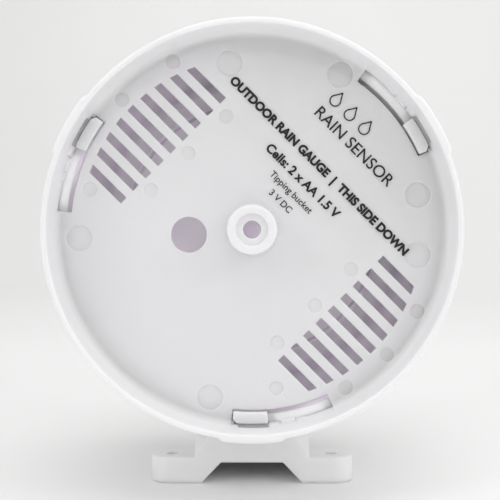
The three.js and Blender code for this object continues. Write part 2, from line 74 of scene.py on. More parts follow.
WALL = 2.0
CUP_R = OUTER_R - WALL
FLOOR_UNDER = 16.0
FLOOR_TOP = FLOOR_UNDER + WALL
SEAT = {"r": 59.0, "z": 17.3}  # the floor's upper side steps down under the collector's ring
STATIONS = (90, 210, 330)
PAD = {"half": 8.5, "blend": 0.7, "out": 0.9, "top": 29.0, "fade": 1.6}
WORKS_TURN = -135
GRID = {"slots": 9, "pitch": 5.83, "width": 2.7, "near": 36.9, "r": 57.0}
ROUND_HOLE = (-20.9, 1.7, 5.9)
WINDOW = {"r": 59.95, "out": CUP_R - 0.2, "from": -24.6, "to": 6.15, "edge": 0.15, "beyond": 2.6}
POCKET = {"r": 66.3, "from": -4.8, "to": 4.0, "low": 11.5}
CATCHES = (  # from, to, inner radius, low edge
    (-16.0, -13.1, 64.45, 14.6), (-12.9, -8.6, 63.9, 14.6), (-8.1, -5.1, 64.35, 12.2), (5.2, 6.5, 63.8, 15.7),
)
CATCH_EASE = {"rise": 0.4, "in": 0.15}  # the low edge is drawn in
HOOK = {"inner": 60.5, "outer": 64.3, "from": -4.8, "to": 5.8, "edge": 0.35}
SKIRT = {"outer": CUP_R - 0.3, "inner": 62.3, "lip": CUP_R - 0.04}
RING = {"r": 61.6, "top": 24.0, "foot": 17.5}  # the thick lower end of the skirt

SLOT_EDGE, HOLE_EDGE = 0.22, 0.3

# Ejector marks on the floor's underside: centres seen from the drain end, x right and y up, radii, and
# levels as height above the underside and distance out
LARGE_MARKS = ((-7.4, 54.9), (29.1, 51.1), (54.9, 11.4), (54.9, -8.4), (-57.3, -2.8), (-13.9, -55.8))
SMALL_MARKS = (
    (-26.1, 55.4), (-43.0, 42.9), (-53.6, 13.4), (-8.6, 37.4), (-21.2, 25.2), (-33.6, 12.9),
    (32.8, -13.2), (20.9, -25.3), (8.3, -37.7), (8.1, -52.8), (54.8, -27.1), (44.7, -41.7), (31.1, -52.6),
)
LARGE_MARK, SMALL_MARK = 4.2, 2.35
MARK_LEVELS = ((-0.6, 0.2), (-0.02, 0.2), (0.1, 0.05), (0.42, 0.0))

# Printed lines on the floor: words, letter size, middle of the line, boldness. Seen from the drain end.
PRINT_Z = FLOOR_UNDER - 0.03
PRINT_LINES = (
    ("OUTDOOR RAIN GAUGE  |  THIS SIDE DOWN", 3.95, (22.2, 20.9), 0.2),
    ("RAIN SENSOR", 5.6, (33.6, 27.4), 0.03),
    ("Cells: 2 x AA 1.5 V", 4.2, (16.7, 16.1), 0.14),
    ("Tipping bucket", 3.1, (12.9, 12.3), 0.03),
    ("3 V DC", 3.1, (9.4, 9.3), 0.03),
)
RAINDROPS = (((27.5, 42.5), 2.0), ((32.2, 37.8), 2.0), ((37.0, 33.2), 2.0))


# Curves and surfaces

def rounded(corners, steps=5):
    """A closed outline from (x, y, radius) corners: each corner becomes an arc of that radius which
    touches both of its sides, and a corner of radius 0 stays sharp."""
    found = []
    count = len(corners)
    for i, (x, y, radius) in enumerate(corners):
        here = np.array([x, y], float)
        before = np.array(corners[i - 1][:2], float) - here
        after = np.array(corners[(i + 1) % count][:2], float) - here
        before /= np.linalg.norm(before)
        after /= np.linalg.norm(after)
        half = math.acos(np.clip(before @ after, -1, 1)) / 2
        if radius <= 0 or half > math.pi / 2 - 1e-3:
            found.append(here[None])
            continue
        middle = here + (before + after) / np.linalg.norm(before + after) * radius / math.sin(half)
        start = here + before * radius / math.tan(half) - middle
        end = here + after * radius / math.tan(half) - middle
        turn = math.atan2(start[0] * end[1] - start[1] * end[0], start @ end)
        angles = np.linspace(0, turn, steps + 1)
        cos, sin = np.cos(angles)[:, None], np.sin(angles)[:, None]
        found.append(middle + start * cos + np.array([-start[1], start[0]]) * sin)
    return np.vstack(found)


def moved_out(outline, distance):
    """An outline moved along its normals: each point goes out by distance over the cosine of half the
    turn at it, so that straight sides stay parallel. The outline runs anticlockwise."""
    back = outline - np.roll(outline, 1, axis=0)
    ahead = np.roll(outline, -1, axis=0) - outline
    back /= np.linalg.norm(back, axis=1, keepdims=True)
    ahead /= np.linalg.norm(ahead, axis=1, keepdims=True)
    along = back + ahead
    along /= np.linalg.norm(along, axis=1, keepdims=True)
    normal = np.stack([along[:, 1], -along[:, 0]], axis=1)
    share = np.clip((along * ahead).sum(1), 0.5, 1)
    return outline + normal * (distance / share)[:, None]


def to_row(points):
    """Sensor frame in millimetres to row frame in metres: x stays, the axis z becomes y, y turns down."""
    x, y, z = np.moveaxis(np.asarray(points, float), -1, 0)
    return np.stack([x, z + RIM_Y, AXIS_Z - y], axis=-1) * MM


def about_axis(points, angle):
    """Points turned about the sensor's axis by angle in degrees."""
    cos, sin = math.cos(math.radians(angle)), math.sin(math.radians(angle))
    x, y = points[..., 0], points[..., 1]
    across = np.stack([x * cos - y * sin, x * sin + y * cos], axis=-1)
    return np.concatenate([across, points[..., 2:]], axis=-1)


def mesh_object(name, points, faces):
    """An object of that name from points in the row's frame and faces as lists of point numbers."""
    mesh = bpy.data.meshes.new(name)
    mesh.from_pydata(np.asarray(points, float).reshape(-1, 3).tolist(), [], faces)
    mesh.update()
    made = bpy.data.objects.new(name, mesh)
    bpy.context.scene.collection.objects.link(made)
    return made


def grid_faces(rows, columns, close_rows=False):
    """Quads between neighbouring points of a rows by columns grid whose columns close on themselves."""
    numbers = np.arange(rows * columns).reshape(rows, columns)
    nearer = numbers if close_rows else numbers[:-1]
    further = np.roll(numbers, -1, axis=0) if close_rows else numbers[1:]
    corners = [nearer, np.roll(nearer, -1, axis=1), np.roll(further, -1, axis=1), further]
    return np.stack(corners, axis=-1).reshape(-1, 4).tolist()


def tidy(made, merge=1e-7):
    """Merges doubles and points all faces out."""
    work = bmesh.new()
    work.from_mesh(made.data)
    bmesh.ops.remove_doubles(work, verts=work.verts, dist=merge)
    bmesh.ops.dissolve_degenerate(work, edges=work.edges, dist=merge)
    bmesh.ops.recalc_face_normals(work, faces=work.faces)
    work.to_mesh(made.data)
    work.free()
    return made


def turned(name, profile, sides, bulge=None):
    """A closed profile of (radius, z) turned about the axis: x = r cos t, y = r sin t, with r grown by
    bulge(r, z, t) where it is given. A profile point on the axis becomes a pole."""
    angles = np.linspace(0, 2 * math.pi, sides, endpoint=False)[None, :]
    r, z = profile[:, :1], np.repeat(profile[:, 1:], sides, axis=1)
    r = np.repeat(r, sides, axis=1)
    if bulge:
        r = r + bulge(r, z, np.degrees(angles))
    points = np.stack([r * np.cos(angles), r * np.sin(angles), z], axis=-1)
    return tidy(mesh_object(name, to_row(points), grid_faces(len(profile), sides, True)))


def prism(name, outline, levels, turn=0):
    """An outline carried up z: at each level (z, out) it is moved out by that much, and ends are closed."""
    rings = [np.c_[moved_out(outline, out), np.full(len(outline), z)] for z, out in levels]
    points = np.array(rings)
    if turn:
        points = about_axis(points, turn)
    count = len(outline)
    faces = grid_faces(len(levels), count)
    last = (len(levels) - 1) * count
    faces += [list(range(count))[::-1], list(range(last, last + count))]
    return tidy(mesh_object(name, to_row(points), faces))


def arc(radius, start, end, steps):
    """Points on a circle about the axis from start to end, in degrees."""
    angles = np.radians(np.linspace(start, end, steps + 1))
    return np.stack([radius * np.cos(angles), radius * np.sin(angles)], axis=1)


def sector_outline(inner, outer, start, end, corner, steps):
    """A piece of a ring, anticlockwise, with its four corners drawn in by corner along both sides."""
    trim_out, trim_in = math.degrees(corner / outer), math.degrees(corner / inner)
    return np.vstack([
        arc(inner + corner, start, start, 0),
        arc(outer - corner, start, start, 0),
        arc(outer, start + trim_out, end - trim_out, steps),
        arc(outer - corner, end, end, 0),
        arc(inner + corner, end, end, 0),
        arc(inner, end - trim_in, start + trim_in, steps),
    ])


def flared(low, high, fillet, beyond=0.6, steps=4):
    """Levels of a cutter through a plate between low and high: it opens along a quarter circle of
    radius fillet at each face, so that the hole's edges come out round."""
    angles = np.radians(np.linspace(12, 90, steps + 1))
    out, rise = fillet * (1 - np.sin(angles)), fillet * (1 - np.cos(angles))
    near = [(low - beyond, out[0])] + [(low + up, side) for up, side in zip(rise, out)]
    far = [(high - (z - low), side) for z, side in reversed(near)]
    return near + far


def eased(low, high, fillet, steps=4):
    """Levels of a block between low and high whose low edge is a quarter circle."""
    angles = np.radians(np.linspace(0, 90, steps + 1))
    out, rise = -fillet * (1 - np.sin(angles)), fillet * (1 - np.cos(angles))
    return [*zip(low + rise, out), (high, 0.0)]


def carve(made, tools, operation="DIFFERENCE"):
    """Cuts the tools from a piece, or joins them to it, and deletes them."""
    work = bmesh.new()
    for tool in tools:
        work.from_mesh(tool.data)
    mesh = bpy.data.meshes.new("tool")
    work.to_mesh(mesh)
    work.free()
    for tool in tools:
        bpy.data.objects.remove(tool)
    joined = bpy.data.objects.new("tool", mesh)
    bpy.context.scene.collection.objects.link(joined)
    step = made.modifiers.new("carve", "BOOLEAN")
    step.operation = operation
    step.solver = "EXACT"
    step.object = joined
    bpy.context.view_layer.update()
    result = bpy.data.meshes.new_from_object(made.evaluated_get(bpy.context.evaluated_depsgraph_get()))
    made.modifiers.clear()
    kept = len(result.vertices) > 0.7 * len(made.data.vertices)
    made.data = result
    bpy.data.objects.remove(joined)
    if not kept:
        raise RuntimeError(f"{made.name}: the {operation.lower()} lost most of the piece")
    return made


def smooth(made, angle=32.0):
    """Smooth shading with sharp edges past an angle, and normals weighted by face area."""
    mesh = made.data
    mesh.polygons.foreach_set("use_smooth", np.ones(len(mesh.polygons), bool))
    mesh.set_sharp_from_angle(angle=math.radians(angle))
    weighted = made.modifiers.new("weighted normals", "WEIGHTED_NORMAL")
    weighted.keep_sharp = True
    weighted.weight = 80
    return made


def finished(made, material, body, slot, *nodes):
    """Gives a piece its material and body and hides the CAD nodes it stands for; slot is not used."""
    made.data.materials.clear()
    made.data.materials.append(material)
    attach(made, body)
    if nodes:
        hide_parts(*nodes)
    return made


def softened(node, width, segments=2, angle=24.0, flat=True):
    """A copy of a CAD node with its edges bevelled, and its flat faces merged first where flat is set."""
    source = frame["nodes"][node]
    made = bpy.data.objects.new(node + "_moulded", source.data.copy())
    bpy.context.scene.collection.objects.link(made)
    tidy(made, 1e-6)
    if flat:
        work = bmesh.new()
        work.from_mesh(made.data)
        bmesh.ops.dissolve_limit(work, angle_limit=math.radians(1.0), verts=work.verts, edges=work.edges)
        work.to_mesh(made.data)
        work.free()
    bevel = made.modifiers.new("edges", "BEVEL")
    bevel.width = width * MM
    bevel.segments = segments
    bevel.limit_method = "ANGLE"
    bevel.angle_limit = math.radians(angle)
    bevel.use_clamp_overlap = True
    bevel.miter_outer = "MITER_ARC"
    return smooth(made, 40.0)


# Materials

def shader(name, **inputs):
    """A material, its node tree and its one Principled shader, with that shader's sockets set."""
    made = bpy.data.materials.new(name)
    made.use_nodes = True
    tree = made.node_tree
    surface = next(n for n in tree.nodes if n.type == "BSDF_PRINCIPLED")
    for socket, value in inputs.items():
        surface.inputs[socket.replace("_", " ")].default_value = value
    return made, tree, surface


def noise(tree, scale, detail=3.0, roughness=0.55, stretch=(1, 1, 1)):
    """Noise on Object coordinates, scale in waves per metre, stretched by a Mapping node."""
    where = tree.nodes.new("ShaderNodeTexCoord")
    mapping = tree.nodes.new("ShaderNodeMapping")
    mapping.inputs["Scale"].default_value = stretch
    texture = tree.nodes.new("ShaderNodeTexNoise")
    texture.inputs["Scale"].default_value = scale
    texture.inputs["Detail"].default_value = detail
    texture.inputs["Roughness"].default_value = roughness
    tree.links.new(where.outputs["Object"], mapping.inputs["Vector"])
    tree.links.new(mapping.outputs["Vector"], texture.inputs["Vector"])
    return texture.outputs["Fac"]


def ranged(tree, value, low, high, start=0.3, end=0.7):
    """A value between start and end spread over low to high."""
    node = tree.nodes.new("ShaderNodeMapRange")
    for socket, number in (("From Min", start), ("From Max", end), ("To Min", low), ("To Max", high)):
        node.inputs[socket].default_value = number
    tree.links.new(value, node.inputs["Value"])
    return node.outputs["Result"]


def tinted(tree, surface, value, first, second, start=0.35, end=0.65):
    """The base colour runs from first to second as value goes from start to end."""
    ramp = tree.nodes.new("ShaderNodeValToRGB")
    ramp.color_ramp.elements[0].position = start
    ramp.color_ramp.elements[1].position = end
    ramp.color_ramp.elements[0].color = (*first, 1)
    ramp.color_ramp.elements[1].color = (*second, 1)
    tree.links.new(value, ramp.inputs["Fac"])
    tree.links.new(ramp.outputs["Color"], surface.inputs["Base Color"])


def bumped(tree, surface, height, distance):
    """Bump of distance in metres from a height value."""
    bump = tree.nodes.new("ShaderNodeBump")
    bump.inputs["Distance"].default_value = distance
    tree.links.new(height, bump.inputs["Height"])
    tree.links.new(bump.outputs["Normal"], surface.inputs["Normal"])


def plastic(name, colour, roughness, depth=0.0, grain=2600.0):
    """Moulded plastic: faint clouding in the colour, a fine spark-eroded grain, patchy gloss, and light
    that soaks in by depth metres."""
    made, tree, surface = shader(name, Roughness=roughness, IOR=1.49)
    if depth:
        surface.inputs["Subsurface Weight"].default_value = 1.0
        surface.inputs["Subsurface Radius"].default_value = (1.0, 0.97, 1.0)
        surface.inputs["Subsurface Scale"].default_value = depth
    colour = np.array(colour)
    tinted(tree, surface, noise(tree, 38.0, 4.0), colour * 0.985, np.minimum(colour * 1.012, 1))
    tree.links.new(
        ranged(tree, noise(tree, 90.0, 5.0), roughness - 0.05, roughness + 0.06), surface.inputs["Roughness"]
    )
    bumped(tree, surface, noise(tree, grain, 2.0), 0.00001)
    return made


def metal(name, colour, roughness, stretch=(1, 1, 1), grain=1800.0):
    """Bright metal with fine drawn or tumbled marks."""
    made, tree, surface = shader(name, Metallic=1.0)
    colour = np.array(colour)
    marks = noise(tree, grain, 3.0, 0.6, stretch)
    tinted(tree, surface, marks, colour * 0.92, np.minimum(colour * 1.05, 1))
    tree.links.new(ranged(tree, marks, roughness * 0.8, roughness * 1.3), surface.inputs["Roughness"])
    bumped(tree, surface, marks, 0.000004)
    return made


MATERIALS = {}


def material(name):
    """The finish of that name, made once."""
    if name not in MATERIALS:
        settings = bpy.context.scene.rain_sensor
        gloss, depth = settings.shell_gloss, settings.shell_depth
        makers = {
            "white_shell": lambda: plastic(name, settings.shell_colour, gloss, depth),
            # painted light: the bracket's white is much lighter than the cup's, to brighten the underlit
            # bracket
            "white_bracket_painted_lighter": lambda: plastic(name, settings.bracket_colour_painted_lighter, gloss, depth * 0.5),
            # painted light: the funnel's white is lighter than the cup's, to brighten the shaded ring in the
            # windows
            "white_funnel_painted_lighter": lambda: plastic(name, settings.funnel_colour_painted_lighter, gloss, depth),
            "inner_shell": lambda: plastic(name, settings.inner_colour, 0.46, depth * 0.6),
            "screen_plastic": lambda: plastic(name, settings.inner_colour, 0.42),
            "screw_steel": lambda: metal(name, (0.62, 0.62, 0.63), 0.28, (1, 6, 1)),
            "magnet_nickel": lambda: metal(name, (0.72, 0.7, 0.66), 0.16),
            "contact_nickel": lambda: metal(name, (0.7, 0.68, 0.64), 0.22, (1, 8, 1)),
            "radio_can": lambda: metal(name, (0.66, 0.67, 0.68), 0.34, (1, 1, 5)),
            "antenna_copper": lambda: metal(name, (0.72, 0.36, 0.2), 0.3),
            "board_laminate": lambda: plastic(name, (0.02, 0.17, 0.07), 0.3, 0, 900.0),
            "cell_jacket": lambda: plastic(name, (0.05, 0.09, 0.15), 0.3, 0, 500.0),
            "seal_rubber": lambda: plastic(name, (0.02, 0.02, 0.021), 0.75, 0, 1500.0),
            "reed_glass": lambda: plastic(name, (0.5, 0.62, 0.54), 0.08, 0, 300.0),
            "print_ink": lambda: plastic(name, settings.ink_colour, 0.42, 0, 3000.0),
        }
        MATERIALS[name] = makers[name]()
    return MATERIALS[name]


# Cup

def cup_profile():
    """The cup's wall, floor, boss and the ring's seat in one closed section, each corner with its radius."""
    return rounded([
        (2.8, 3.1, 0.35), (5.15, 3.1, 0.2), (5.15, 2.0, 0.3), (7.95, 2.0, 0.55),
        (8.35, FLOOR_UNDER, 0.9), (CUP_R, FLOOR_UNDER, 2.2), (CUP_R, 0.0, 0.7), (OUTER_R, 0.0, 0.8),
        (OUTER_R, CUP_TOP, 0.4), (CUP_R, CUP_TOP, 0.3), (CUP_R, SEAT["z"], 0.1), (SEAT["r"], SEAT["z"], 0.2),
        (SEAT["r"], FLOOR_TOP, 0.2), (2.8, FLOOR_TOP, 0.3),
    ], 6)


def with_stops(profile, longest=7.0):
    """The profile with its long straight stretches divided, so that no quad is far longer than wide."""
    found = []
    for here, ahead in zip(profile, np.roll(profile, -1, axis=0)):
        steps = max(1, int(np.linalg.norm(ahead - here) // longest))
        found.append(here + (ahead - here) * np.linspace(0, 1, steps, endpoint=False)[:, None])
    return np.vstack(found)


def smoothstep(value, low, high):
    """Runs from 0 at low to 1 at high along 3t^2 - 2t^3."""
    share = np.clip((value - low) / (high - low), 0, 1)
    return share * share * (3 - 2 * share)


def pad_bulge(r, z, angle):
    """The pads: the outer wall stands out by a smooth step round each station and along z."""
    away = np.min([np.abs((angle - at + 180) % 360 - 180) for at in STATIONS], axis=0)
    around = 1 - smoothstep(away, PAD["half"] - PAD["blend"] / 2, PAD["half"] + PAD["blend"] / 2)
    along = 1 - smoothstep(z, PAD["top"] - PAD["fade"], PAD["top"])
    outer = smoothstep(r, CUP_R + 0.9, OUTER_R - 0.2)
    return PAD["out"] * around * along * outer


def slot_outline(middle):
    """One slot in the works' frame: straight sides, a square inner end and an outer end on a circle."""
    low, high = middle - GRID["width"] / 2, middle + GRID["width"] / 2
    across = np.linspace(low, high, 5)
    outer = np.stack([np.sqrt(GRID["r"] ** 2 - across**2), across], axis=1)
    corners = [(GRID["near"], high, 0.25), (GRID["near"], low, 0.25), (*outer[0], 0.2)]
    corners += [(*point, 0.0) for point in outer[1:-1]] + [(*outer[-1], 0.2)]
    return rounded(corners, 3)


def floor_cutters():
    """Cutters for the slots, the round hole and the ejector marks."""
    through = flared(FLOOR_UNDER, FLOOR_TOP, SLOT_EDGE)
    tools = []
    for i in range(GRID["slots"]):
        outline = slot_outline((i - (GRID["slots"] - 1) / 2) * GRID["pitch"])
        tools += [prism("slot", outline, through, WORKS_TURN + side) for side in (0, 180)]
    x, y, r = ROUND_HOLE
    hole = arc(r, 0, 360, 64)[:-1] + (x, y)
    tools.append(prism("hole", hole, flared(FLOOR_UNDER, FLOOR_TOP, HOLE_EDGE)))
    levels = [(FLOOR_UNDER + up, out) for up, out in MARK_LEVELS]
    for radius, places in ((LARGE_MARK, LARGE_MARKS), (SMALL_MARK, SMALL_MARKS)):
        tools += [prism("mark", arc(radius, 0, 360, 40)[:-1] + (x, -y), levels) for x, y in places]
    return tools


def window_cutters():
    """Cutters for the bayonet windows, whose edges open along quarter circles."""
    tools = []
    for at in STATIONS:
        ends = at + WINDOW["from"], at + WINDOW["to"]
        outline = sector_outline(WINDOW["r"], WINDOW["out"], *ends, 0.25, 30)
        levels = flared(FLOOR_UNDER, FLOOR_TOP, WINDOW["edge"], WINDOW["beyond"])
        tools.append(prism("window", outline, levels))
    return tools


def pocket_cutters():
    """Cutters for the pockets in the wall behind the hooks, each a piece of a ring."""
    tools = []
    for at in STATIONS:
        ends = at + POCKET["from"], at + POCKET["to"]
        outline = sector_outline(CUP_R - 1.0, POCKET["r"], *ends, 0.3, 12)
        tools.append(prism("pocket", outline, [(POCKET["low"], 0), (FLOOR_UNDER + 0.3, 0)]))
    return tools


def catches():
    """Low ramps beside each pocket, which the hook rides over as it snaps home, and its stop."""
    made = []
    for at in STATIONS:
        for start, end, inner, low in CATCHES:
            outline = sector_outline(inner, CUP_R + 1.2, at + start, at + end, 0.2, 6)
            levels = [(low, -CATCH_EASE["in"]), (low + CATCH_EASE["rise"], 0), (FLOOR_UNDER + 0.6, 0)]
            made.append(prism("catch", outline, levels))
    return made


def build_cup():
    cup = turned("drain_cup", with_stops(cup_profile()), 432, pad_bulge)
    carve(cup, floor_cutters())
    carve(cup, window_cutters())
    carve(cup, pocket_cutters())
    carve(cup, catches(), "UNION")
    finished(smooth(cup), material("white_shell"), "base", "white_shell", "base_cup")
    return cup


# Collector

THROAT = {"r": 6.0, "z": 78.0, "bore": 2.5, "tip": 70.0, "out": 4.5}
BOWL_FLOOR = 106.0
CONE_SKIN = 2.2
DRIP_RING = {"near": 50.8, "far": 52.3, "low": 90.0}


def cone_at(r):
    """Height of the cone's upper side at a radius: a straight line from the throat to the wall."""
    return THROAT["z"] + (r - THROAT["r"]) * (BOWL_FLOOR - THROAT["z"]) / (CUP_R - THROAT["r"])


def collector_profile():
    """Outlet, cone underside with its drip ring, skirt, shoulder, outer wall, rim, bowl wall and cone
    in one section."""
    inner, outer = SKIRT["inner"], SKIRT["outer"]
    near, far, low = DRIP_RING["near"], DRIP_RING["far"], DRIP_RING["low"]
    return rounded([
        (THROAT["bore"], THROAT["tip"], 0.3), (THROAT["out"], THROAT["tip"], 0.4),
        (THROAT["out"] + 1, cone_at(THROAT["out"] + 1) - CONE_SKIN, 1.5),
        (near, cone_at(near) - CONE_SKIN, 0.6), (near, low, 0.3), (far, low, 0.3),
        (far, cone_at(far) - CONE_SKIN, 0.6),
        (inner, cone_at(inner) - CONE_SKIN, 4.0), (inner, RING["top"] + 2, 0.5),
        (RING["r"], RING["top"], 0.5), (RING["r"], RING["foot"], 0.4),
        (SKIRT["lip"], RING["foot"], 0.2), (SKIRT["lip"], FLOOR_TOP + 2, 0.2),
        (outer, FLOOR_TOP + 3, 0.5), (outer, CUP_TOP + 0.3, 0.3), (OUTER_R, CUP_TOP + 0.3, 0.5),
        (OUTER_R, LENGTH, 0.8), (CUP_R, LENGTH, 0.8), (CUP_R, BOWL_FLOOR, 3.0),
        (THROAT["r"], THROAT["z"], 1.5), (THROAT["bore"], THROAT["z"] - 2, 0.6),
    ], 6)


def hook_outline(at):
    """One hook's section: a piece of a ring with small round corners and its outer far corner cut off."""
    start, end = at + HOOK["from"], at + HOOK["to"]
    inner, outer = HOOK["inner"], HOOK["outer"]
    trim = math.degrees(1.5 / outer)
    small = math.degrees(0.3 / outer)
    return np.vstack([
        arc(inner + 0.3, start, start, 0), arc(outer - 0.3, start, start, 0),
        arc(outer, start + small, end - trim, 8), arc(outer - 1.3, end, end, 0),
        arc(inner + 0.3, end, end, 0), arc(inner, end - small, start + small, 8),
    ])


def build_collector():
    shell = turned("collector_funnel", with_stops(collector_profile()), 288)
    hooks = [prism("hook", hook_outline(at), eased(HOOK_END, RING["top"], HOOK["edge"])) for at in STATIONS]
    carve(shell, hooks, "UNION")
    return finished(smooth(shell), material("white_funnel_painted_lighter"), "collector", "white_shell", "collector")


# Print on the floor's underside

def lettering(words, size, place, angle=-45.0, weight=0.0):
    """Plain words as a flat mesh on the floor's underside, read from the drain end. place is the
    middle of the line, x right and y up about the axis, in millimetres."""
    curve = bpy.data.curves.new("words", "FONT")
    curve.body = words
    curve.size = size
    curve.align_x = "CENTER"
    curve.align_y = "CENTER"
    curve.offset = weight
    curve.resolution_u = 6
    holder = bpy.data.objects.new("words", curve)
    bpy.context.scene.collection.objects.link(holder)
    bpy.context.view_layer.update()
    flat = bpy.data.meshes.new_from_object(holder.evaluated_get(bpy.context.evaluated_depsgraph_get()))
    bpy.data.objects.remove(holder)
    points = np.zeros(len(flat.vertices) * 3, np.float32)
    flat.vertices.foreach_get("co", points)
    points = points.reshape(-1, 3)
    cos, sin = math.cos(math.radians(angle)), math.sin(math.radians(angle))
    x = points[:, 0] * cos - points[:, 1] * sin + place[0]
    y = points[:, 0] * sin + points[:, 1] * cos + place[1]
    faces = [list(polygon.vertices) for polygon in flat.polygons]
    return np.stack([x, -y, np.full(len(x), PRINT_Z)], axis=1), faces


def drop_outline(place, size, angle=-45.0):
    """A raindrop: a circle whose upper side is drawn out to a point by a pull of cos^6 of the angle."""
    angles = np.linspace(0, 2 * math.pi, 64, endpoint=False)
    pull = np.clip(np.cos(angles), 0, 1) ** 6
    x = np.sin(angles) * (1 - 0.45 * pull) * size
    y = (np.cos(angles) + 0.85 * pull) * size
    cos, sin = math.cos(math.radians(angle)), math.sin(math.radians(angle))
    return np.stack([x * cos - y * sin + place[0], x * sin + y * cos + place[1]], axis=1)


def ring_faces(start, count):
    """Quads between two outlines of count points each, which follow each other from start."""
    here = start + np.arange(count)
    ahead = np.roll(here, -1)
    return np.stack([here, ahead, ahead + count, here + count], axis=1).tolist()


def build_print():
    """Plain marks: the kind of sensor, which side is down, its cells, and three outlined raindrops."""
    points, faces, start = [], [], 0
    for words, size, place, weight in PRINT_LINES:
        spots, polygons = lettering(words, size, place, weight=weight)
        points.append(spots)
        faces += [[start + i for i in polygon] for polygon in polygons]
        start += len(spots)
    for place, size in RAINDROPS:
        outer = drop_outline(place, size)
        inner = drop_outline(place, size * 0.78)
        for outline in (outer, inner):
            points.append(np.c_[outline[:, 0], -outline[:, 1], np.full(len(outline), PRINT_Z)])
        faces += ring_faces(start, len(outer))
        start += 2 * len(outer)
    made = mesh_object("floor_print", to_row(np.vstack(points)), faces)
    thick = made.modifiers.new("ink", "SOLIDIFY")
    thick.thickness = 0.02 * MM
    thick.offset = 0
    return finished(made, material("print_ink"), "base", "print_ink")


# Bracket, screen and works

def build_bracket():
    made = softened("mount_bracket", 0.5, 3)
    return finished(made, material("white_bracket_painted_lighter"), "base", "white_shell", "mount_bracket")


def build_screen():
    made = softened("debris_screen", 0.2, 2, flat=False)
    return finished(made, material("screen_plastic"), "leaf_screen", "screen_plastic", "debris_screen")


def build_works():
    slots = {part["node"]: part["material_slot"] for part in frame["record"]["subparts"]}
    done = {"base_cup", "collector", "mount_bracket", "debris_screen"}
    for node, shown in frame["nodes"].items():
        if node not in done:
            shown.data.materials.clear()
            shown.data.materials.append(material(slots[node]))


# Stage

# Lights in the shell: turn about the axis, place (mm), facing, side that size's first number runs
# along, size (m), share of the power and colour
UP, OUT, BACK, ALONG, ACROSS = (0, 0, 1), (1, 0, 0), (-1, 0, 0), (1, 0, 0), (0, 1, 0)
LILAC, WHITE = (1.0, 0.86, 1.03), (1.0, 0.98, 1.0)
INSIDE_LIGHTS = [
    (WORKS_TURN, (0, -40, FLOOR_TOP + 0.4), UP, ALONG, (0.09, 0.03), 0.6, LILAC),
    (WORKS_TURN, (0, 0, FLOOR_TOP + 0.4), UP, ALONG, (0.05, 0.03), 0.065, LILAC),
    (WORKS_TURN, (0, 0, 29), UP, ALONG, (0.02, 0.012), 0.05, LILAC),
    (WORKS_TURN, (52, 0, FLOOR_TOP + 0.4), UP, ALONG, (0.012, 0.06), 0.25, LILAC),
    (WORKS_TURN, (-52, 0, FLOOR_TOP + 0.4), UP, ALONG, (0.012, 0.06), 0.25, LILAC),
    (WORKS_TURN, (40, 0, 74), OUT, ACROSS, (0.05, 0.012), 0.2, LILAC),
    (WORKS_TURN, (-40, 0, 74), BACK, ACROSS, (0.05, 0.012), 0.2, LILAC),
]
WINDOW_MIDDLE = -14.5  # of the free part, from its station
WINDOW_LIGHTS = (
    ((63.2, 0, 17.0), UP, (0.0165, 0.003), 0.005),
    ((57.0, 0, 23.0), OUT, (0.0165, 0.008), 0.012),
)
INSIDE_LIGHTS += [
    (at + WINDOW_MIDDLE, place, facing, ACROSS, size, share, WHITE)
    for at in STATIONS for place, facing, size, share in WINDOW_LIGHTS
]

# Softboxes: name, place, target, size (m) and power as a multiple of the key power
MIDDLE = (0.0, 0.0, AXIS_Z * MM)
SOFTBOXES = (
    ("key_left", (-0.8, -0.64, 0.6), MIDDLE, (0.6, 0.6), 1.4),
    ("key_right", (0.86, -0.6, 0.55), MIDDLE, (0.6, 0.6), 1.65),
    ("front", (0.15, -1.05, 0.75), MIDDLE, (1.2, 0.5), 0.85),
    ("overhead", (0.1, -0.2, 1.2), (0.05, -0.1, 0), (1.3, 0.9), 3.5),
    ("back_wall", (0.25, 0.7, 1.3), (0.15, 1.6, 0.5), (1.4, 0.4), 2.5),
)
CAMERA = {"away": 0.315, "lens": 72.0, "sensor": 36.0, "down": 1.17, "left": 0.115}


def backdrop():
    """A pale sweep: a flat floor that turns up through a quarter circle into a wall behind."""
    turn = np.radians(np.linspace(0, 90, 24))
    bend = np.stack([1.0 + 0.6 * np.sin(turn), 0.6 - 0.6 * np.cos(turn)], axis=1)
    line = np.vstack([[(-1.6, 0.0)], bend, [(1.6, 2.4)]])
    across = np.linspace(-2.2, 2.2, 9)
    count = len(across)
    sideways = np.tile(across[None, :], (len(line), 1))
    points = np.stack([sideways, *np.repeat(line.T[:, :, None], count, axis=2)], axis=-1)
    numbers = np.arange(len(line) * count).reshape(len(line), count)
    faces = np.stack([numbers[:-1, :-1], numbers[:-1, 1:], numbers[1:, 1:], numbers[1:, :-1]], -1)
    made = mesh_object("sweep", points, faces.reshape(-1, 4).tolist())
    made.data.polygons.foreach_set("use_smooth", np.ones(len(made.data.polygons), bool))
    paper, tree, surface = shader("pale_sweep", Roughness=0.7)
    tinted(tree, surface, noise(tree, 3.0, 3.0), (0.93, 0.93, 0.925), (0.95, 0.95, 0.945))
    made.data.materials.append(paper)


def area_light(name, place, size, power):
    light = bpy.data.lights.new(name, "AREA")
    light.shape = "RECTANGLE"
    light.size, light.size_y = size
    light.energy = power
    holder = bpy.data.objects.new(name, light)
    holder.location = place
    bpy.context.scene.collection.objects.link(holder)
    return holder


def softbox(name, place, target, size, power):
    """A rectangle of light at a place, turned to its target."""
    aim = Vector(target) - Vector(place)
    area_light(name, place, size, power).rotation_euler = aim.to_track_quat("-Z", "Y").to_euler()


